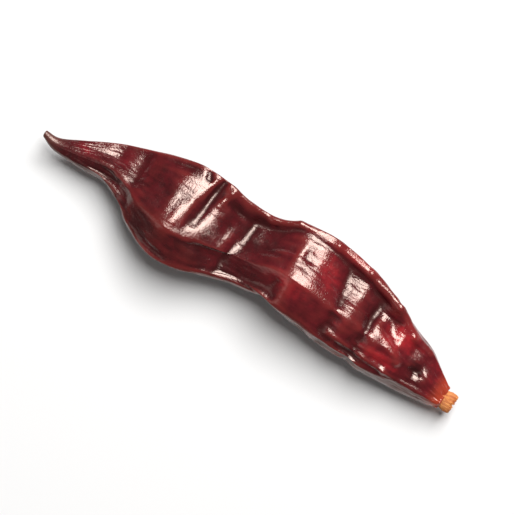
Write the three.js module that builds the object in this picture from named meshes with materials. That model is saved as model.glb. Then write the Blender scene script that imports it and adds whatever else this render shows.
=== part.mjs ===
// A whole dried red chilli with its stem snapped off, lying on its side.
//
// Units are millimetres and +Z is up. The pod lies along X: its pointed tip is at -X and its neck, with the
// stub of the stem, at +X. The origin is on the surface it lies on, under the middle of its bounding box.
//
// The pod is one hollow fruit whose wall has dried and sunk into four long panels, with a ridge between each
// two. It stands on the two lower ridges. The stub is what is left of the stem and its cap.

import * as THREE from "three";

// Driving dimensions.
const OVERALL_LENGTH = 58.4; // from the tip of the pod to the snapped end of the stub
const STUB_LENGTH = 1.6; // how far the stub stands out of the neck
const STUB_GAP = 0.02; // between the stub and the neck
const WIDTH_MIDDLE = 1.75; // where the middle of the overall width lies in the sections below
const FLOOR = 0; // the surface the pod lies on, where its ridges are pressed flat

// How finely the pod is faceted.
const RING_STEPS = 48; // around
const LENGTH_STEPS = 52; // along

// Sections of the pod from the tip to the neck: the distance from the tip, the place of the section's middle
// across and above the floor, and half its width and height.
const SECTIONS = [
  { along: 0.0, across: -0.15, up: 3.55, halfWidth: 0.42, halfHeight: 0.38 },
  { along: 1.7, across: -0.42, up: 3.2, halfWidth: 0.8, halfHeight: 0.66 },
  { along: 4.2, across: 0.18, up: 2.95, halfWidth: 1.5, halfHeight: 1.2 },
  { along: 8.0, across: 1.2, up: 2.75, halfWidth: 2.55, halfHeight: 1.95 },
  { along: 11.5, across: 1.45, up: 2.9, halfWidth: 3.75, halfHeight: 2.65 },
  { along: 14.5, across: 1.2, up: 3.35, halfWidth: 5.15, halfHeight: 3.35 },
  { along: 18.0, across: 1.0, up: 3.8, halfWidth: 6.2, halfHeight: 3.9 },
  { along: 21.5, across: 1.15, up: 3.95, halfWidth: 6.12, halfHeight: 4.05 },
  { along: 25.0, across: 1.6, up: 3.85, halfWidth: 5.37, halfHeight: 3.9 },
  { along: 28.5, across: 2.25, up: 3.75, halfWidth: 4.92, halfHeight: 3.75 },
  { along: 32.0, across: 3.05, up: 3.9, halfWidth: 5.32, halfHeight: 3.95 },
  { along: 36.0, across: 3.2, up: 4.0, halfWidth: 5.62, halfHeight: 4.1 },
  { along: 40.0, across: 2.9, up: 3.85, halfWidth: 5.62, halfHeight: 3.95 },
  { along: 44.0, across: 2.45, up: 3.65, halfWidth: 5.22, halfHeight: 3.7 },
  { along: 47.5, across: 1.8, up: 3.35, halfWidth: 4.45, halfHeight: 3.25 },
  { along: 50.3, across: 1.45, up: 3.1, halfWidth: 3.8, halfHeight: 2.65 },
  { along: 52.7, across: 1.2, up: 2.9, halfWidth: 3.2, halfHeight: 2.15 },
  { along: 54.9, across: 0.7, up: 2.86, halfWidth: 2.3, halfHeight: 1.6 },
  { along: OVERALL_LENGTH - STUB_LENGTH - STUB_GAP, across: 0.3, up: 2.86, halfWidth: 1.5, halfHeight: 1.25 },
];

// The four long panels, each from one ridge to the next, by the angle around the section from +Y towards +Z,
// and how deep the middle of the panel has sunk, as a share of the section's radius.
const PANELS = [
  { from: 28, to: 140, sunk: 0.08 }, // the broad top panel
  { from: 140, to: 232, sunk: 0.12 }, // the side panel under it
  { from: 232, to: 302, sunk: 0.15 }, // the bottom panel, between the ridges that it stands on
  { from: 302, to: 388, sunk: 0.12 }, // the other side panel
];
const PANEL_SHARPNESS = 1.3; // 1 makes knife-edged ridges and 2 makes soft ones
const PANELS_FADE_OVER = 9; // the panels die out over this distance from the tip

// The stub, as radius and distance out of the neck: a short plug with a splintered rim and a sunken middle.
const STUB_PROFILE = [
  [0, 0],
  [1.05, 0],
  [1.2, 0.55],
  [1.12, 1.2],
  [0.85, STUB_LENGTH],
  [0.55, 1.45],
  [0.4, 1.1],
  [0, 1.0],
];
const STUB_STEPS = 20; // around

const podMaterial = new THREE.MeshStandardMaterial({
  color: new THREE.Color(0.3, 0.035, 0.035),
  roughness: 0.3,
  metalness: 0,
});
const stubMaterial = new THREE.MeshStandardMaterial({
  color: new THREE.Color(0.8, 0.42, 0.14),
  roughness: 0.75,
  metalness: 0,
});

// A smooth curve through one pair of values of every section, read by how far along the list it is, from 0 to 1.
function throughSections(first, second) {
  const points = SECTIONS.map((s) => new THREE.Vector2(s[first], s[second]));
  return new THREE.SplineCurve(points);
}

const places = throughSections("along", "across");
const heights = throughSections("along", "up");
const halves = throughSections("halfWidth", "halfHeight");

// How far the skin stands out at an angle around the section: 1 on a ridge, and less in the panel between two.
function skinRadius(degrees, depth) {
  const turned = degrees < PANELS[0].from ? degrees + 360 : degrees;
  const panel = PANELS.find((p) => turned >= p.from && turned <= p.to);
  const across = (turned - panel.from) / (panel.to - panel.from);
  const bowl = Math.pow(Math.sin(Math.PI * across), PANEL_SHARPNESS);
  return 1 - depth * panel.sunk * bowl;
}

// The outline of a section whose panels have sunk by a share of their full depth, as [across, up] pairs that
// fill a box from -1 to 1 both ways.
function sectionOutline(depth) {
  const outline = [];
  for (let step = 0; step < RING_STEPS; step++) {
    const degrees = (360 * step) / RING_STEPS;
    const radius = skinRadius(degrees, depth);
    const angle = THREE.MathUtils.degToRad(degrees);
    outline.push(new THREE.Vector2(radius * Math.cos(angle), radius * Math.sin(angle)));
  }
  const box = new THREE.Box2().setFromPoints(outline);
  const middle = box.getCenter(new THREE.Vector2());
  const half = box.getSize(new THREE.Vector2()).divideScalar(2);
  return outline.map((point) => point.sub(middle).divide(half));
}

// The point of the pod's skin at a share of the way from tip to neck and at a step around the section.
function skinPoint(share, ringStep) {
  const place = places.getPoint(share);
  const half = halves.getPoint(share);
  const depth = THREE.MathUtils.smoothstep(place.x, 0, PANELS_FADE_OVER);
  const [across, up] = sectionOutline(depth)[ringStep % RING_STEPS].toArray();
  return new THREE.Vector3(
    place.x - OVERALL_LENGTH / 2,
    place.y - WIDTH_MIDDLE + half.x * across,
    Math.max(FLOOR, heights.getPoint(share).y + half.y * up),
  );
}

// The middle of a section, which closes the pod at its tip and at its neck.
function sectionMiddle(share) {
  const place = places.getPoint(share);
  return new THREE.Vector3(place.x - OVERALL_LENGTH / 2, place.y - WIDTH_MIDDLE, heights.getPoint(share).y);
}

// The pod: a globe's grid of vertices, with its poles at the tip and the neck, drawn out onto the skin.
function makePod() {
  const geometry = new THREE.SphereGeometry(1, RING_STEPS, LENGTH_STEPS);
  const position = geometry.getAttribute("position");
  const columns = RING_STEPS + 1;
  for (let index = 0; index < position.count; index++) {
    const row = Math.floor(index / columns);
    const ringStep = RING_STEPS - (index % columns);
    const share = THREE.MathUtils.clamp((row - 1) / (LENGTH_STEPS - 2), 0, 1);
    const isPole = row === 0 || row === LENGTH_STEPS;
    const point = isPole ? sectionMiddle(share) : skinPoint(share, ringStep);
    position.setXYZ(index, point.x, point.y, point.z);
  }
  geometry.computeVertexNormals();
  const mesh = new THREE.Mesh(geometry, podMaterial);
  mesh.name = "pod";
  return mesh;
}

// The stub of the stem, turned to stand out of the neck along +X.
function makeStub() {
  const profile = STUB_PROFILE.map(([radius, out]) => new THREE.Vector2(radius, out));
  const mesh = new THREE.Mesh(new THREE.LatheGeometry(profile, STUB_STEPS), stubMaterial);
  mesh.name = "stem_stub";
  mesh.rotation.z = -Math.PI / 2;
  mesh.position.copy(sectionMiddle(1));
  mesh.position.x += STUB_GAP;
  return mesh;
}

const chilli = new THREE.Group();
chilli.add(makePod(), makeStub());

export default chilli;
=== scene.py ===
"""A whole dried red chilli with its stem snapped off, lying on its side on a pale surface."""

import math

import bpy
import numpy as np
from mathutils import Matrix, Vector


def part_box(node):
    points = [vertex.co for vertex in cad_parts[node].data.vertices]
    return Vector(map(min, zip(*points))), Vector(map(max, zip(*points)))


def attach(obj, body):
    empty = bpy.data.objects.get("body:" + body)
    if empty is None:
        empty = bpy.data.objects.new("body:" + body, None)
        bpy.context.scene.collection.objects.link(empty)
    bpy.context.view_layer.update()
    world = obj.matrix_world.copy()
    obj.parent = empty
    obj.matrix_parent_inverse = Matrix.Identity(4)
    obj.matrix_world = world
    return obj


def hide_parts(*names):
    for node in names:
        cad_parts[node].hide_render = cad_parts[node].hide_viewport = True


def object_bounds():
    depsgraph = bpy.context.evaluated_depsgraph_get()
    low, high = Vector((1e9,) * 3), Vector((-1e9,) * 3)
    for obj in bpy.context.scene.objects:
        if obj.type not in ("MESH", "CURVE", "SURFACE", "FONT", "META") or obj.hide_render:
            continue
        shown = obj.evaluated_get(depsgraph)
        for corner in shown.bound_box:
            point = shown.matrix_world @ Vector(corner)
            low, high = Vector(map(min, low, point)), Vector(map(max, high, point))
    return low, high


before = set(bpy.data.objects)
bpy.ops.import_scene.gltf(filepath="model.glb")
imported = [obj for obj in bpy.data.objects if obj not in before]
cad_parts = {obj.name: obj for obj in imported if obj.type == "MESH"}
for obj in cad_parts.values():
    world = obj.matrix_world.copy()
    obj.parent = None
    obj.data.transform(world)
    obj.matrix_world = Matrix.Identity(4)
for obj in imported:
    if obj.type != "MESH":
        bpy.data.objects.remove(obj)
cad_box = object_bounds()

MM = 0.001

# ---------------------------------------------------------------------------------------------------------
# The pod.
# One hollow fruit. Its wall has dried to a thin leathery skin, which has sunk into long panels between its
# ridges and buckled across them where the wall had nowhere to go.
# ---------------------------------------------------------------------------------------------------------

pod_low, pod_high = (np.array(corner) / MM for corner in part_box("pod"))
TIP_X = pod_low[0]  # the part's own X of the tip, from which "along" is measured
NECK_ALONG = pod_high[0] - pod_low[0]
ACROSS_ORIGIN = 1.75  # the "across" of the part's own Y = 0

# Sections from the tip to the neck: the distance along, the place of the middle across and up, half the width
# and half the height, in millimetres, and the angles of the five ridges from the outside of the bend (+Y) up
# over the top, in degrees.
SECTIONS = np.array(
    [
        # along across    up  half_w half_h  crest brow crease heel  toe
        [0.00, -0.15, 3.30, 0.42, 0.38, 20, 84, 128, 232, 302],
        [1.70, -0.42, 2.95, 0.80, 0.66, 24, 86, 126, 232, 302],
        [4.20, 0.18, 2.70, 1.50, 1.20, 28, 92, 126, 230, 304],
        [8.00, 1.20, 2.50, 2.55, 1.95, 28, 98, 130, 228, 306],
        [11.5, 1.45, 2.65, 3.75, 2.60, 28, 106, 138, 232, 304],
        [14.5, 1.20, 3.10, 5.10, 3.20, 28, 110, 146, 236, 300],
        [18.0, 1.00, 3.55, 6.10, 3.70, 30, 110, 150, 238, 298],
        [21.5, 1.15, 3.70, 6.00, 3.85, 30, 108, 148, 234, 300],
        [25.0, 1.60, 3.60, 5.25, 3.70, 28, 106, 146, 232, 302],
        [28.5, 2.25, 3.50, 4.80, 3.55, 26, 104, 144, 230, 304],
        [32.0, 3.05, 3.65, 5.20, 3.75, 28, 101, 140, 228, 306],
        [36.0, 3.20, 3.75, 5.50, 3.85, 30, 99, 137, 228, 306],
        [40.0, 2.90, 3.60, 5.50, 3.70, 30, 98, 138, 230, 304],
        [44.0, 2.45, 3.40, 5.10, 3.45, 32, 98, 139, 232, 302],
        [47.5, 1.80, 3.10, 4.35, 3.00, 36, 96, 137, 232, 300],
        [50.3, 1.45, 2.85, 3.75, 2.50, 38, 92, 133, 230, 300],
        [52.7, 1.20, 2.65, 3.20, 2.10, 36, 88, 128, 232, 302],
        [54.9, 0.70, 2.60, 2.30, 1.60, 30, 84, 122, 232, 302],
        [NECK_ALONG, 0.30, 2.60, 1.50, 1.25, 24, 80, 118, 232, 302],
    ]
)
# How deep the panel after each ridge has sunk, as a share of the section's radius: the top panel, the narrow
# one beside it, the near side, the bottom and the far side.
SUNK = [0.235, 0.03, 0.18, 0.19, 0.23]
SUNK_AT_NECK = 0.35  # the share of that depth which is left beside the neck
PANEL_SHARPNESS = 1.15  # 1 makes knife-edged ridges and 2 makes soft ones
# How far each ridge stands up as a pinch, as a share of the section's radius, and the pinch's half width.
PINCHED = [0.04, 0.0, 0.01, 0.04, 0.04]
PINCH_DEGREES = 6


def through(rows, place):
    """The smooth curve through the rows of a table, read at places counted in rows: each stretch is the
    Catmull-Rom cubic of its four nearest rows, with the first and last rows carried on in a straight line."""
    padded = np.vstack([2 * rows[:1] - rows[1:2], rows, 2 * rows[-1:] - rows[-2:-1]])
    first = np.clip(np.floor(place).astype(int), 0, len(rows) - 2)
    t = (place - first)[:, None]
    a, b, c, d = (padded[first + k] for k in range(4))
    return b + 0.5 * t * (c - a + t * (2 * a - 5 * b + 4 * c - d + t * (3 * (b - c) + d - a)))


def smooth_step(low, high, value):
    """0 below low, 1 above high, and the cubic 3t² - 2t³ between them."""
    t = np.clip((value - low) / (high - low), 0, 1)
    return t * t * (3 - 2 * t)


def ridged_outline(angle, ridges, sunk, pinched):
    """Distance out at each angle: 1 at a ridge, less by sunk times a power of a half sine across the panel
    between two ridges, and a narrow rounded pinch standing up on each ridge."""
    out = np.ones(np.broadcast_shapes(angle.shape, ridges[0].shape))
    for k, (depth, pinch) in enumerate(zip(sunk, pinched)):
        start, width = ridges[k], (ridges[(k + 1) % len(sunk)] - ridges[k]) % 360
        across = ((angle - start) % 360) / width
        inside = across <= 1
        bowl = np.where(inside, np.sin(np.pi * np.clip(across, 0, 1)), 0) ** PANEL_SHARPNESS
        out = out - depth * bowl
        off = (angle - start + 180) % 360 - 180
        out = out + pinch * np.exp(-np.abs(off / PINCH_DEGREES) ** 1.5)
    return out


def core_surface(rings, around):
    """Points of the shrunken core that the skin lies on, ring by ring, and how far along each ring is: the
    ridged outline of each section, fitted to the section's box, at that section's place. The panels die out
    over the tip and are shallower beside the neck."""
    place = np.linspace(0, len(SECTIONS) - 1, rings)
    table = through(SECTIONS, place)
    along, across, up, half_w, half_h = (table[:, k, None] for k in range(5))
    ridges = [table[:, k, None] for k in range(5, 10)]
    angle = (360 * np.arange(around) / around)[None, :]
    depth = smooth_step(0, 9, along)
    short_of_neck = 1 - smooth_step(46, 52, along)
    kept = SUNK_AT_NECK + (1 - SUNK_AT_NECK) * short_of_neck
    sunk = [share * depth * kept for share in SUNK]
    out = ridged_outline(angle, ridges, sunk, [pinch * depth for pinch in PINCHED])
    y, z = out * np.cos(np.radians(angle)), out * np.sin(np.radians(angle))
    for part in (y, z):
        low, high = part.min(axis=1, keepdims=True), part.max(axis=1, keepdims=True)
        part -= (low + high) / 2
        part /= (high - low) / 2
    x = np.broadcast_to(along, y.shape)
    return np.stack([x, across + half_w * y, up + half_h * z], axis=-1), along


def crest_place(along):
    """How far across the crest of each section is: its middle and the cosine of the crest's angle."""
    rows = [np.interp(along, SECTIONS[:, 0], SECTIONS[:, k]) for k in (1, 3, 5)]
    return rows[0] + rows[1] * np.cos(np.radians(rows[2]))


def outward(points):
    """Unit normals of a ring grid: the cross product of the steps to the next ring and around the ring."""
    ahead = np.gradient(points, axis=0)
    beside = np.roll(points, -1, axis=1) - np.roll(points, 1, axis=1)
    normal = np.cross(beside, ahead)
    return normal / np.maximum(np.linalg.norm(normal, axis=-1, keepdims=True), 1e-9)


# Creases across the upper face, which is flat between one and the next. Each runs straight from the crest to
# the near ridge: how far along it is at its two ends, and how far it stands up there (or has sunk in).
CREASES = [
    (12.0, 12.0, 0.00, 0.00),
    (16.4, 17.2, 0.35, 0.25),
    (20.6, 18.2, -0.05, 0.25),
    (21.3, 20.0, -0.40, -0.25),
    (22.0, 21.6, -0.15, -0.62),
    (23.0, 22.8, -0.15, -0.88),
    (27.3, 26.2, -1.15, -1.42),
    (32.8, 34.4, 0.30, 0.30),
    (35.2, 37.0, 0.22, 0.15),
    (39.5, 40.9, -0.29, -0.26),
    (42.2, 42.1, -0.17, -0.24),
    (44.6, 44.6, -0.46, -0.42),
    (45.6, 46.1, -0.22, -0.20),
    (48.2, 49.6, 0.15, 0.00),
    (50.6, 51.0, -0.25, -0.20),
    (54.0, 54.0, 0.00, 0.00),
]
CREASE_ENDS = (7.0, -1.0)  # how far across the two ends of the creases are


def facet_height(points, crest):
    """How far the creased face lies off the plain core at each point: from one crease to the next it rises
    evenly, as a sum of held ramps, and it dies out towards the crest, which stays whole, and down the near
    side."""
    along, across = points[..., 0], points[..., 1]
    share = np.clip((CREASE_ENDS[0] - across) / (CREASE_ENDS[0] - CREASE_ENDS[1]), 0, 1)
    lines = [(a + (b - a) * share, top + (low - top) * share) for a, b, top, low in CREASES]
    lift = np.zeros(along.shape)
    for (place, height), (next_place, next_height) in zip(lines, lines[1:]):
        lift += (next_height - height) * np.clip((along - place) / (next_place - place), 0, 1)
    return lift * smooth_step(-0.4, 1.2, crest - across) * smooth_step(-4.5, -1.0, across)


# Narrow folds seen from above, each a straight crest (or with a negative height a trough): how far along and
# across it starts, its height and half width there, and the same for its end. The first is the pit before the
# neck, which the core itself has, and the others are pressed into the skin when it is half finished.
NECK_PIT = ((52.2, 1.0, -0.50, 0.7), (52.5, 1.1, -0.50, 0.7))
SKIN_FOLDS = [
    ((19.0, 6.9, -0.20, 0.35), (19.3, 6.3, -0.20, 0.35)),
    ((21.1, 6.9, -0.30, 0.40), (20.7, 4.2, -0.05, 0.4)),
    ((22.7, 6.6, 0.18, 0.5), (22.0, 4.2, 0.06, 0.4)),
    ((25.2, 2.4, 0.03, 0.4), (24.9, 0.4, 0.03, 0.4)),
    ((28.3, 6.5, 0.16, 0.5), (31.3, 7.9, 0.20, 0.5)),
    ((31.3, 7.9, 0.20, 0.5), (36.5, 8.2, 0.20, 0.5)),
    ((36.5, 8.2, 0.20, 0.5), (41.5, 7.7, 0.22, 0.5)),
    ((41.5, 7.7, 0.22, 0.5), (46.5, 6.3, 0.36, 0.7)),
    ((46.5, 6.3, 0.36, 0.7), (49.9, 4.4, 0.30, 0.6)),
    ((49.9, 4.2, 0.22, 0.45), (52.6, 3.8, 0.20, 0.45)),
    ((44.6, 5.4, 0.05, 0.35), (47.3, 5.2, 0.05, 0.35)),
    ((45.6, 3.2, 0.24, 0.80), (49.8, 0.8, 0.18, 0.6)),
    ((44.2, -0.2, 0.10, 0.35), (49.8, 0.6, 0.10, 0.35)),
    ((41.0, -0.9, 0.18, 0.38), (49.0, -1.05, 0.20, 0.38)),
    ((49.0, -1.05, 0.20, 0.38), (56.5, -0.75, 0.16, 0.35)),
    ((1.6, -0.95, -0.10, 0.3), (10.5, -0.2, -0.12, 0.3)),
]


def fold_height(points, folds):
    """How far the folds lift each point: the height times a bell of the distance to the crest line seen from
    above, over the half width there."""
    lift = np.zeros(points.shape[:2])
    plan = points[..., :2]
    for start, end in folds:
        start, end = np.array(start), np.array(end)
        run = (end - start)[:2]
        t = np.clip((plan - start[:2]) @ run / (run @ run), 0, 1)
        gap = np.linalg.norm(plan - start[:2] - t[..., None] * run, axis=-1)
        height, half_width = (start[k] + (end[k] - start[k]) * t for k in (2, 3))
        lift += height * np.exp(-((gap / half_width) ** 2))
    return lift


STIFF = 0.12  # of the springs
OUTWARD_HOLD = 0.01  # how much harder it is for the skin to stand out than to sink in
GRIP = 0.03  # of the core on the skin where the pod is solid
GRIP_AT_NECK = 0.5  # the share of that grip beside the neck
GRIP_AT_WAIST = 0.1  # and at the waist
WAIST_ALONG = 27.5  # where the pod is narrowest
KEPT_SPEED = 0.93  # the share of its speed that a point keeps from one round to the next


def settle(core, slack, inward, bend, rounds, noise):
    """Lay a skin that is a little too large on its core. Every edge and diagonal of the grid is a spring that
    wants its length on the core times one plus its slack, the skin resists bending away from the core by the
    fourth difference, and the core lets it sink in far more easily than stand out, but grips it where the pod
    is solid, at the tip, the neck and the waist. Each round moves every point by the sum of those pulls, with
    most of the speed of the round before, and the two ends are held."""
    core = core.astype(np.float32)
    normal = outward(core).astype(np.float32)
    springs = []
    rows = len(core)
    for down, over in ((1, 0), (0, 1), (1, 1), (1, -1)):
        step = np.roll(core, -over, axis=1)[down:] - core[: rows - down]
        length = np.linalg.norm(step, axis=-1)
        springs.append((down, over, (length * (1 + slack[: rows - down])).astype(np.float32)))
    skin = core + normal * noise[..., None].astype(np.float32)
    speed = np.zeros_like(skin)
    along = core[..., 0]
    solid = 1 - smooth_step(1, 8, along) + GRIP_AT_NECK * smooth_step(48, 52, along)
    solid = solid + GRIP_AT_WAIST * np.exp(-(((along - WAIST_ALONG) / 2) ** 2))
    sideways = (inward + GRIP * solid).astype(np.float32)
    loose = smooth_step(0.2, 1.6, along) * smooth_step(0, 0.8, NECK_ALONG - along)
    loose = loose.astype(np.float32)[..., None]
    for _ in range(rounds):
        push = np.zeros_like(skin)
        for down, over, rest in springs:
            step = np.roll(skin, -over, axis=1)[down:] - skin[: rows - down]
            length = np.sqrt(np.einsum("ijk,ijk->ij", step, step))
            pull = step * (np.float32(STIFF) * (1 - rest / np.maximum(length, np.float32(1e-9))))[..., None]
            push[: rows - down] += pull
            push[down:] -= np.roll(pull, over, axis=1)
        lift = skin - core
        curl = np.roll(lift, 1, axis=1) + np.roll(lift, -1, axis=1) - 4 * lift
        curl[1:-1] += lift[2:] + lift[:-2]
        curl[0] += 2 * lift[1]
        curl[-1] += 2 * lift[-2]
        bow = np.roll(curl, 1, axis=1) + np.roll(curl, -1, axis=1) - 4 * curl
        bow[1:-1] += curl[2:] + curl[:-2]
        push[1:-1] -= bend * bow[1:-1]
        rise = np.einsum("ijk,ijk->ij", lift, normal)
        held_back = np.where(rise > 0, np.float32(OUTWARD_HOLD), np.float32(0)) * rise
        push -= sideways[..., None] * lift + held_back[..., None] * normal
        speed = KEPT_SPEED * speed + push
        speed *= loose
        skin = skin + speed
    return skin.astype(float)


def finer(points, rings, around):
    """The same ring grid with more rings and points around, read off smooth cubics both ways."""
    rows = through(points.reshape(len(points), -1), np.linspace(0, len(points) - 1, rings))
    rows = rows.reshape(rings, -1, 3)
    wrapped = np.concatenate([rows[:, -2:], rows, rows[:, :3]], axis=1).transpose(1, 0, 2)
    where = 2 + np.arange(around) * rows.shape[1] / around
    columns = through(wrapped.reshape(len(wrapped), -1), where)
    return columns.reshape(around, rings, 3).transpose(1, 0, 2)


def smooth_noise(seed, rings, around, passes, more_along=0):
    """Random heights on the ring grid, smoothed by that many passes of a short bell both ways and more passes
    along the pod, and scaled to a spread of one."""
    noise = np.random.default_rng(seed).normal(size=(rings, around))
    for _ in range(passes):
        noise = (2 * noise + np.roll(noise, 1, 1) + np.roll(noise, -1, 1)) / 4
    for _ in range(passes + more_along):
        noise[1:-1] = (2 * noise[1:-1] + noise[2:] + noise[:-2]) / 4
    return noise / noise.std()


# How the skin is laid, in three goes, each on a finer grid: its rings and points around, its slack, how much
# of that the upper face is spared, how firmly the core keeps it from sinking in, its stiffness, the rounds,
# and the height of the random dents that it starts from with their smoothing passes.
STAGES = [
    (83, 72, 0.035, 0.55, 0.0003, 0.003, 1500, 0.40, 8),
    (166, 144, 0.038, 0.55, 0.0005, 0.002, 1200, 0.12, 10),
    (332, 288, 0.016, 0.20, 0.0010, 0.002, 250, 0.01, 4),
]
FIRST_SEED = 31
GRAIN = 0.014  # the height of the fine lengthwise wrinkles left all over the skin
GRAIN_PASSES = (5, 24)  # of smoothing, both ways and then along the pod alone
GRAIN_SPARED = 0.4  # the share of that height which the upper face is spared

# The shares of its slack that the skin is spared on the flank, around the neck and in the waist, and the
# share that is left at the tip.
FLANK_SPARED = 0.85
NECK_SPARED = 0.6
WAIST_SPARED = 0.85
TIP_SLACK = 0.04
NECK_DENTS = 0.2  # the share of the dents' height that is left at the neck


def looseness(along, face):
    """How much of its slack the skin has, as the product of a share for the upper face, one for the flank
    towards the tip and the neck, one for the waist, and one for the tip itself, which has hardly any."""
    flank = smooth_step(6, 10, along) * (1 - smooth_step(14, 20, along))
    neck = smooth_step(42, 50, along)
    waist = np.exp(-(((along - WAIST_ALONG) / 3) ** 2))
    tip = TIP_SLACK + (1 - TIP_SLACK) * smooth_step(2, 9, along)
    ends = 1 - FLANK_SPARED * flank - NECK_SPARED * neck
    return (1 - face) * ends * (1 - WAIST_SPARED * waist) * tip


def grown_skin():
    """The finished skin: the core with its creases and its pit, the skin laid on it, each finer skin laid on
    the last, and the fine wrinkles as smoothed noise along the normals."""
    skin = None
    for stage, (rings, around, slack, spared, inward, bend, rounds, dents, passes) in enumerate(STAGES):
        plain, along = core_surface(rings, around)
        upward = smooth_step(0.0, 0.5, outward(plain)[..., 2])
        face = spared * upward * smooth_step(8, 14, along) * (1 - smooth_step(50, 54, along))
        if stage == 0:
            lift = facet_height(plain, crest_place(along)) + fold_height(plain, [NECK_PIT])
            core = plain + outward(plain) * (upward * lift)[..., None]
        else:
            core = finer(skin, rings, around)
        if stage == 1:
            core = core + outward(core) * (upward * fold_height(core, SKIN_FOLDS))[..., None]
        loose = looseness(along, face)
        short_of_neck = smooth_step(0, 3, NECK_ALONG - along)
        away = smooth_step(0, 8, along) * (NECK_DENTS + (1 - NECK_DENTS) * short_of_neck)
        noise = dents * away * smooth_noise(FIRST_SEED + stage, rings, around, passes)
        skin = settle(core, slack * loose, inward, bend, rounds, noise)
    grain = smooth_noise(FIRST_SEED + len(STAGES), rings, around, *GRAIN_PASSES) * smooth_step(1, 6, along)
    return skin + outward(skin) * (GRAIN * (1 - GRAIN_SPARED * face) * grain)[..., None]


def relief_of(points, passes, height):
    """How far each point stands above its surroundings, as a share of a height: its rise over the same grid
    smoothed by that many passes of a short bell, from -1 in a crease to 1 on a ridge."""
    smooth = points.copy()
    for _ in range(passes):
        smooth = (2 * smooth + np.roll(smooth, 1, axis=1) + np.roll(smooth, -1, axis=1)) / 4
        smooth[1:-1] = (2 * smooth[1:-1] + smooth[2:] + smooth[:-2]) / 4
    rise = np.einsum("ijk,ijk->ij", points - smooth, outward(smooth))
    return np.clip(rise / height, -1, 1)


# How red the skin is over the tip half, how much it gains over the neck half and again at the neck itself,
# and the share of it that is left low down the near side, which is painted shade there.
RED_TIP_HALF = 0.19
RED_NECK_HALF = 0.20
RED_NECK = 0.15
RED_LEFT_IN_PAINTED_SHADE = 0.30
# Spots of painted light and shade: with a positive gain the skin is painted redder and brighter, as painted
# glow of light through thin skin, and near the tip as a painted highlight; with a negative gain it is painted
# darker, as
# painted shade. For each: how far along and across its middle is, how far the spot reaches both ways, and its
# gain.
PAINTED_GLOW_AND_SHADE_SPOTS = [
    # painted glow of light through the thin skin
    (36.9, 5.4, 1.8, 2.6, 0.42),
    (48.6, 3.6, 2.2, 1.5, 0.50),
    (47.5, -0.1, 3.0, 0.6, 0.60),
    (33.5, 1.0, 2.5, 1.2, 0.25),
    (39.5, 8.2, 2.5, 0.8, 0.4),
    # painted highlight along the upper flank towards the tip
    (5.2, 1.0, 1.8, 0.9, 0.50),
    (10.8, 3.0, 3.0, 1.3, 0.25),
    # painted shade in the dark hollow between two lit facets and in the pit before the neck
    (44.2, 3.6, 1.2, 2.2, -0.2),
    (52.3, 1.2, 1.2, 1.4, -0.4),
]


def redness_of(points):
    """How red the skin is, from 0 to 1, painted light and shade included: it rises in soft steps from the tip
    half to the neck half, is lower down the near side as painted shade, and has a bell for each spot of
    painted glow, highlight and shade."""
    along, across = points[..., 0], points[..., 1]
    red = RED_TIP_HALF + RED_NECK_HALF * smooth_step(27, 36, along) + RED_NECK * smooth_step(53, 57, along)
    red = red * (RED_LEFT_IN_PAINTED_SHADE + (1 - RED_LEFT_IN_PAINTED_SHADE) * smooth_step(-2.2, -0.2, across))
    for x, y, reach_x, reach_y, gain in PAINTED_GLOW_AND_SHADE_SPOTS:
        red = red + gain * np.exp(-(((along - x) / reach_x) ** 2) - ((across - y) / reach_y) ** 2)
    return np.clip(red, 0, 1)


def store(piece, name, values):
    """Keep one number for each vertex of a closed ring grid, the poles with their end ring's mean."""
    flat = np.concatenate([values.ravel(), [values[0].mean(), values[-1].mean()]])
    layer = piece.data.attributes.new(name, "FLOAT", "POINT")
    layer.data.foreach_set("value", flat.astype(np.float32))


# The ends, as rings drawn in from the last one of the skin: how far each lies past it along the pod, and its
# size as a share of it. The tip is rounded, and the neck has a lip that turns in around the stub of the stem.
TIP_RINGS = [(0.10, 0.35), (0.08, 0.62), (0.04, 0.85)]
NECK_RINGS = [(0.07, 0.985), (0.13, 0.94), (0.15, 0.88), (0.10, 0.83), (-0.05, 0.80), (-0.25, 0.78)]


def with_ends(points, *fields):
    """The ring grid with its ends drawn in, and each field carried on over them from its own last ring."""
    def drawn(ring, rings, way):
        middle = ring.mean(axis=0)
        return [middle + share * (ring - middle) + [way * past, 0, 0] for past, share in rings]

    grid = np.concatenate([drawn(points[0], TIP_RINGS, -1), points, drawn(points[-1], NECK_RINGS, 1)])
    carried = [np.pad(f, ((len(TIP_RINGS), len(NECK_RINGS)), (0, 0)), mode="edge") for f in fields]
    return grid, *carried


def close_rings(points):
    """Vertices and outward faces of a ring grid, closed at both ends by a fan around the middle of the end
    ring: a square of the grid joins steps k and k + 1 of two neighbouring rings."""
    rings, around = points.shape[:2]
    ring, step = np.meshgrid(np.arange(rings - 1), np.arange(around), indexing="ij")
    beside = (step + 1) % around
    near, far = ring * around, (ring + 1) * around
    quads = np.stack([far + step, far + beside, near + beside, near + step], axis=-1).reshape(-1, 4)
    poles = rings * around
    step = np.arange(around)
    beside = (step + 1) % around
    first = np.stack([step, beside, np.full(around, poles)], axis=-1)
    last_ring = (rings - 1) * around
    last = np.stack([last_ring + beside, last_ring + step, np.full(around, poles + 1)], axis=-1)
    vertices = np.vstack([points.reshape(-1, 3), points[0].mean(axis=0), points[-1].mean(axis=0)])
    return vertices, quads.tolist() + first.tolist() + last.tolist()


def placed(name, data):
    """A new object that holds the data, in the scene."""
    thing = bpy.data.objects.new(name, data)
    bpy.context.scene.collection.objects.link(thing)
    return thing


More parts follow.
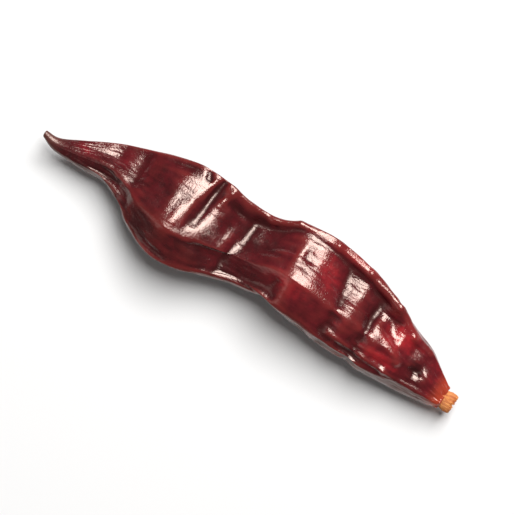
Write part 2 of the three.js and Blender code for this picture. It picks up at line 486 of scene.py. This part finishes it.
def new_piece(name, points, **fields):
    """A smooth-shaded object of that name from a closed ring grid in millimetres, with the fields stored."""
    vertices, faces = close_rings(points)
    mesh = bpy.data.meshes.new(name)
    mesh.from_pydata(vertices * MM, [], faces)
    mesh.shade_smooth()
    piece = placed(name, mesh)
    for field, values in fields.items():
        store(piece, field, values)
    return piece


# How the skin's height over its surroundings is read: the smoothing passes that make the surroundings, and
# the height in millimetres that counts as a full ridge or a full crease.
RIDGE_READING = (24, 0.10)
CREASE_READING = (6, 0.05)
TIP_BROWN = 0.85  # how brown the very tip is
NECK_ORANGE = 0.7  # how orange the skin is against the stub

skin = grown_skin()
skin, relief, crease, redness, tip_share, neck_share = with_ends(
    skin,
    relief_of(skin, *RIDGE_READING),
    smooth_step(0.1, 1.0, -relief_of(skin, *CREASE_READING)),
    redness_of(skin),
    TIP_BROWN * (1 - smooth_step(0.8, 3.2, skin[..., 0])),
    NECK_ORANGE * smooth_step(54.6, 56.6, skin[..., 0]),
)
skin[..., 0] += TIP_X
skin[..., 1] -= ACROSS_ORIGIN
skin[..., 2] -= skin[..., 2].min()
skin[..., 2] *= pod_high[2] / skin[..., 2].max()
neck_middle = skin[-1].mean(axis=0)
pod = new_piece(
    "pod_skin", skin, relief=relief, crease=crease, redness=redness, tip=tip_share, neck=neck_share
)


class Finish:
    """A material, and the few kinds of node that the finishes of the pod and the stub are mixed from."""

    def __init__(self, name):
        self.material = bpy.data.materials.new(name)
        self.material.use_nodes = True
        self.nodes = self.material.node_tree.nodes
        self.shader = self.nodes["Principled BSDF"]
        self.place = self.nodes.new("ShaderNodeTexCoord").outputs["Object"]

    def join(self, source, socket):
        """Link an output to an input."""
        self.material.node_tree.links.new(source, socket)

    def attribute(self, name):
        """One of the numbers stored on the piece's vertices."""
        node = self.nodes.new("ShaderNodeAttribute")
        node.attribute_name = name
        return node.outputs["Fac"]

    def noise(self, scale, detail, stretch=(1, 1, 1)):
        """Cloudy noise with features about 1/scale of a metre across, longer where the stretch is under 1."""
        mapping = self.nodes.new("ShaderNodeMapping")
        mapping.inputs["Scale"].default_value = stretch
        self.join(self.place, mapping.inputs["Vector"])
        node = self.nodes.new("ShaderNodeTexNoise")
        node.inputs["Scale"].default_value = scale
        node.inputs["Detail"].default_value = detail
        self.join(mapping.outputs["Vector"], node.inputs["Vector"])
        return node.outputs["Fac"]

    def span(self, value, low, high, to_low=0.0, to_high=1.0):
        """The value carried from one range to another, and held at its ends."""
        node = self.nodes.new("ShaderNodeMapRange")
        ranges = (("From Min", low), ("From Max", high), ("To Min", to_low), ("To Max", to_high))
        for socket, number in ranges:
            node.inputs[socket].default_value = number
        self.join(value, node.inputs["Value"])
        return node.outputs["Result"]

    def added(self, first, second):
        """The sum of two values."""
        node = self.nodes.new("ShaderNodeMath")
        self.join(first, node.inputs[0])
        self.join(second, node.inputs[1])
        return node.outputs["Value"]

    def blend(self, factor, first, second):
        """The first colour where the factor is 0 and the second where it is 1."""
        node = self.nodes.new("ShaderNodeMix")
        node.data_type = "RGBA"
        self.join(factor, node.inputs[0])
        for socket, colour in zip([i for i in node.inputs if i.type == "RGBA"], (first, second)):
            if isinstance(colour, tuple):
                socket.default_value = (*colour, 1)
            else:
                self.join(colour, socket)
        return [o for o in node.outputs if o.type == "RGBA"][0]

    def bump(self, height, strength, depth, *sockets):
        """Relief finer than the mesh, up to that many millimetres deep, for those of the shader's normals."""
        node = self.nodes.new("ShaderNodeBump")
        node.inputs["Strength"].default_value = strength
        node.inputs["Distance"].default_value = depth * MM
        self.join(height, node.inputs["Height"])
        for socket in sockets:
            self.join(node.outputs["Normal"], self.shader.inputs[socket])


DARK_SKIN = (0.036, 0.0028, 0.0045)
MIDDLE_SKIN = (0.105, 0.006, 0.010)
BRIGHT_SKIN = (0.34, 0.012, 0.018)
RIDGE_PAINTED_GLOW = (0.26, 0.030, 0.025)
CREASE_PAINTED_SHADE = (0.024, 0.0012, 0.0018)
TIP_SKIN = (0.080, 0.022, 0.017)
NECK_SKIN = (0.42, 0.050, 0.018)


def skin_material():
    """Dried chilli skin: deep maroon, with painted glow of light through thin skin making it redder in spots
    and lighter on the ridges, painted shade making it darker low down the near side and nearly black in the
    creases, a painted highlight on the tip's upper flank, brown at the tip and orange-red around the stem,
    with a waxy gloss over fine lengthwise wrinkles."""
    finish = Finish("chilli_skin")
    noise, span, added, blend = finish.noise, finish.span, finish.added, finish.blend
    relief, crease, redness, tip, neck = map(finish.attribute, ("relief", "crease", "redness", "tip", "neck"))
    clouds = span(noise(300, 4, (0.6, 1, 1)), 0.3, 0.7, -0.20, 0.20)
    mottle = span(noise(1300, 4), 0.3, 0.7, -0.12, 0.12)
    # The redness brings its painted glow, highlight and shade into the tone.
    tone = added(added(redness, clouds), mottle)
    colour = blend(span(tone, 0.0, 0.5), DARK_SKIN, MIDDLE_SKIN)
    colour = blend(span(tone, 0.5, 1.0), colour, BRIGHT_SKIN)
    # Painted glow: the ridges are tinted a lighter red, as light shining through the thin skin.
    colour = blend(span(relief, 0.1, 1.0, 0.0, 0.35), colour, RIDGE_PAINTED_GLOW)
    # Painted shade: the hollows below their surroundings and the narrow creases are darkened towards nearly
    # black.
    colour = blend(span(relief, -0.1, -1.0, 0.0, 0.45), colour, CREASE_PAINTED_SHADE)
    colour = blend(span(crease, 0, 1, 0.0, 0.3), colour, CREASE_PAINTED_SHADE)
    colour = blend(tip, colour, TIP_SKIN)
    colour = blend(neck, colour, NECK_SKIN)
    finish.join(colour, finish.shader.inputs["Base Color"])

    waxy = span(noise(700, 4), 0.3, 0.7, 0.13, 0.25)
    duller = added(span(crease, 0.3, 1, 0.0, 0.12), span(tip, 0, 1, 0.0, 0.25))
    finish.join(added(waxy, duller), finish.shader.inputs["Roughness"])
    finish.shader.inputs["Specular IOR Level"].default_value = 0.88
    finish.shader.inputs["Specular Tint"].default_value = (1.0, 0.77, 0.67, 1)
    finish.shader.inputs["Coat Weight"].default_value = 0.15
    finish.shader.inputs["Coat Roughness"].default_value = 0.12
    finish.shader.inputs["Coat IOR"].default_value = 1.45

    wrinkles = span(noise(1500, 5, (0.3, 1, 1)), 0, 1)
    pores = span(noise(4500, 3), 0, 1, 0.0, 0.4)
    finish.bump(added(wrinkles, pores), 0.7, 0.10, "Normal", "Coat Normal")
    return finish.material


pod.data.materials.append(skin_material())
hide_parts("pod")
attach(pod, "root")

# ---------------------------------------------------------------------------------------------------------
# The stub of the stem.
# What is left in the neck where the stem was snapped off: a short woody plug, drawn out into splinters around
# its rim, with the torn pith sunk in the middle. It grows out of the neck, inside the lip of the skin.
# ---------------------------------------------------------------------------------------------------------

STUB_RINGS = 90
STUB_AROUND = 480
STUB_RADIUS = 1.22
STUB_ROOM = 0.95  # the share of the room in front of the neck that the stub's profile fills
BROAD_WAVES = 9  # of the broad fibres around the stub, with two fibres to a wave
FINE_WAVES = 23  # and of the fine ones
# Its profile from the hidden end in the neck, over the rim and into the middle: distance out of the neck and
# radius, both as shares, of how far it stands out and of its radius.
STUB_PROFILE = np.array(
    [
        [-0.35, 0.55],
        [-0.30, 0.80],
        [-0.10, 0.86],
        [0.15, 0.90],
        [0.45, 0.98],
        [0.70, 1.00],
        [0.90, 0.93],
        [0.98, 0.82],
        [0.92, 0.70],
        [0.74, 0.58],
        [0.60, 0.44],
        [0.58, 0.28],
        [0.66, 0.12],
    ]
)
FLATTENED = 0.86  # its height over its width, as the neck around it


def snapped_stub(rings, around, out, radius):
    """Points of the stub about its own middle, how high the fibres stand there, and the profile's radius: the
    profile turned around X, with rounded fibres side by side as the sizes of sines of the angle, which drift
    along it, and a rim that stands out unevenly where they tore."""
    profile = through(STUB_PROFILE, np.linspace(0, len(STUB_PROFILE) - 1, rings))
    share_out, share_radius = profile[:, :1], profile[:, 1:]
    turn = np.linspace(0, 2 * np.pi, around, endpoint=False)[None, :]
    ragged = smooth_noise(21, rings, around, 3)
    torn = smooth_noise(22, 1, around, 6)
    drift = 0.5 * np.sin(3 * turn) + 1.5 * share_out
    broad = np.abs(np.sin(BROAD_WAVES * turn + drift))
    fine = np.abs(np.sin(FINE_WAVES * turn - 2 * drift + 1))
    fibres = 0.7 * broad + fine - 1
    outside = smooth_step(-0.2, 0.3, share_out)
    rim = np.exp(-(((share_radius - 0.85) / 0.16) ** 2)) * smooth_step(0.6, 0.95, share_out)
    r = radius * share_radius * (1 + 0.05 * fibres * outside + 0.015 * ragged)
    x = out * (share_out + rim * (0.07 * torn + 0.12 * fibres) + 0.03 * ragged * outside)
    return np.stack([x, r * np.cos(turn), FLATTENED * r * np.sin(turn)], axis=-1), fibres, share_radius


stub_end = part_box("stem_stub")[1][0] / MM
stub_out = stub_end - pod_high[0]
stub_points, stub_fibres, stub_reach = snapped_stub(
    STUB_RINGS, STUB_AROUND, STUB_ROOM * stub_out, STUB_RADIUS
)
stub_points += [pod_high[0], neck_middle[1], neck_middle[2]]
stub_points[..., 0] = np.minimum(stub_points[..., 0], stub_end)
stub_middle = np.broadcast_to(1 - smooth_step(0.25, 0.75, stub_reach), stub_fibres.shape)
stub = new_piece("stem_fibres", stub_points, fibre=stub_fibres, middle=stub_middle)

DARK_FIBRE = (0.42, 0.10, 0.020)
PALE_FIBRE = (0.68, 0.27, 0.065)
FIBRE_GROOVE = (0.36, 0.07, 0.015)
PITH = (0.20, 0.075, 0.025)


def stem_material():
    """Dried stem: orange-yellow fibres running out of the neck, darker between them, with brown pith."""
    finish = Finish("stem_fibre")
    streaks = finish.noise(3500, 5, (0.3, 1, 1))
    groove = finish.span(finish.attribute("fibre"), 0.1, -0.8, 0.0, 0.8)
    colour = finish.blend(finish.span(streaks, 0.35, 0.65), DARK_FIBRE, PALE_FIBRE)
    colour = finish.blend(groove, colour, FIBRE_GROOVE)
    colour = finish.blend(finish.attribute("middle"), colour, PITH)
    finish.join(colour, finish.shader.inputs["Base Color"])
    finish.shader.inputs["Roughness"].default_value = 0.62
    finish.bump(streaks, 0.7, 0.05, "Normal")
    return finish.material


stub.data.materials.append(stem_material())
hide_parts("stem_stub")
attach(stub, "root")

# ---------------------------------------------------------------------------------------------------------
# The setting: camera, lights and floor.
# ---------------------------------------------------------------------------------------------------------

VIEW_ROLL = math.radians(34.1)  # the pod slopes down to the right
VIEW_ROOM = 1.06  # the width of the view, in lengths of the pod
low, high = np.array(cad_box)
middle = (low + high) / 2

camera_data = bpy.data.cameras.new("camera")
camera_data.lens = 200
camera_data.sensor_width = 36
camera_data.clip_start = 0.01
camera = placed("camera", camera_data)
view_height = VIEW_ROOM * (high[0] - low[0]) * camera_data.lens / camera_data.sensor_width
camera.location = (middle[0], middle[1], view_height)
camera.rotation_euler = (0, 0, VIEW_ROLL)
bpy.context.scene.camera = camera


def soft_box(name, bearing, height, distance, wide, tall, power):
    """A rectangular area light that looks at the middle of the pod from a bearing and height in degrees,
    where bearing 0 is the right of the view and 90 its top. The camera doesn't see it."""
    light = bpy.data.lights.new(name, "AREA")
    light.shape = "RECTANGLE"
    light.size = wide
    light.size_y = tall
    light.energy = power
    lamp = placed(name, light)
    turn = math.radians(bearing) + VIEW_ROLL
    lift = math.radians(height)
    toward = [math.cos(lift) * math.cos(turn), math.cos(lift) * math.sin(turn), math.sin(lift)]
    lamp.location = tuple(middle + distance * np.array(toward))
    lamp.rotation_euler = (math.pi / 2 - lift, 0, turn + math.pi / 2)
    lamp.visible_camera = False


soft_box("key", bearing=58, height=60, distance=0.6, wide=0.26, tall=0.46, power=6.2)
soft_box("second", bearing=190, height=45, distance=0.6, wide=0.3, tall=0.3, power=0.2)

world = bpy.data.worlds.new("studio")
world.use_nodes = True
world.node_tree.nodes["Background"].inputs["Color"].default_value = (1, 1, 1, 1)
world.node_tree.nodes["Background"].inputs["Strength"].default_value = 0.10
bpy.context.scene.world = world
bpy.context.scene.view_settings.view_transform = "Standard"

FLOOR_REACH = 1.5  # metres from the middle to each edge
floor_mesh = bpy.data.meshes.new("floor")
corners = [(x * FLOOR_REACH, y * FLOOR_REACH, 0) for x, y in ((-1, -1), (1, -1), (1, 1), (-1, 1))]
floor_mesh.from_pydata(corners, [], [(0, 1, 2, 3)])
floor = placed("floor", floor_mesh)
paper = bpy.data.materials.new("paper")
paper.use_nodes = True
paper.node_tree.nodes["Principled BSDF"].inputs["Base Color"].default_value = (0.72, 0.715, 0.71, 1)
paper.node_tree.nodes["Principled BSDF"].inputs["Roughness"].default_value = 0.8
floor_mesh.materials.append(paper)
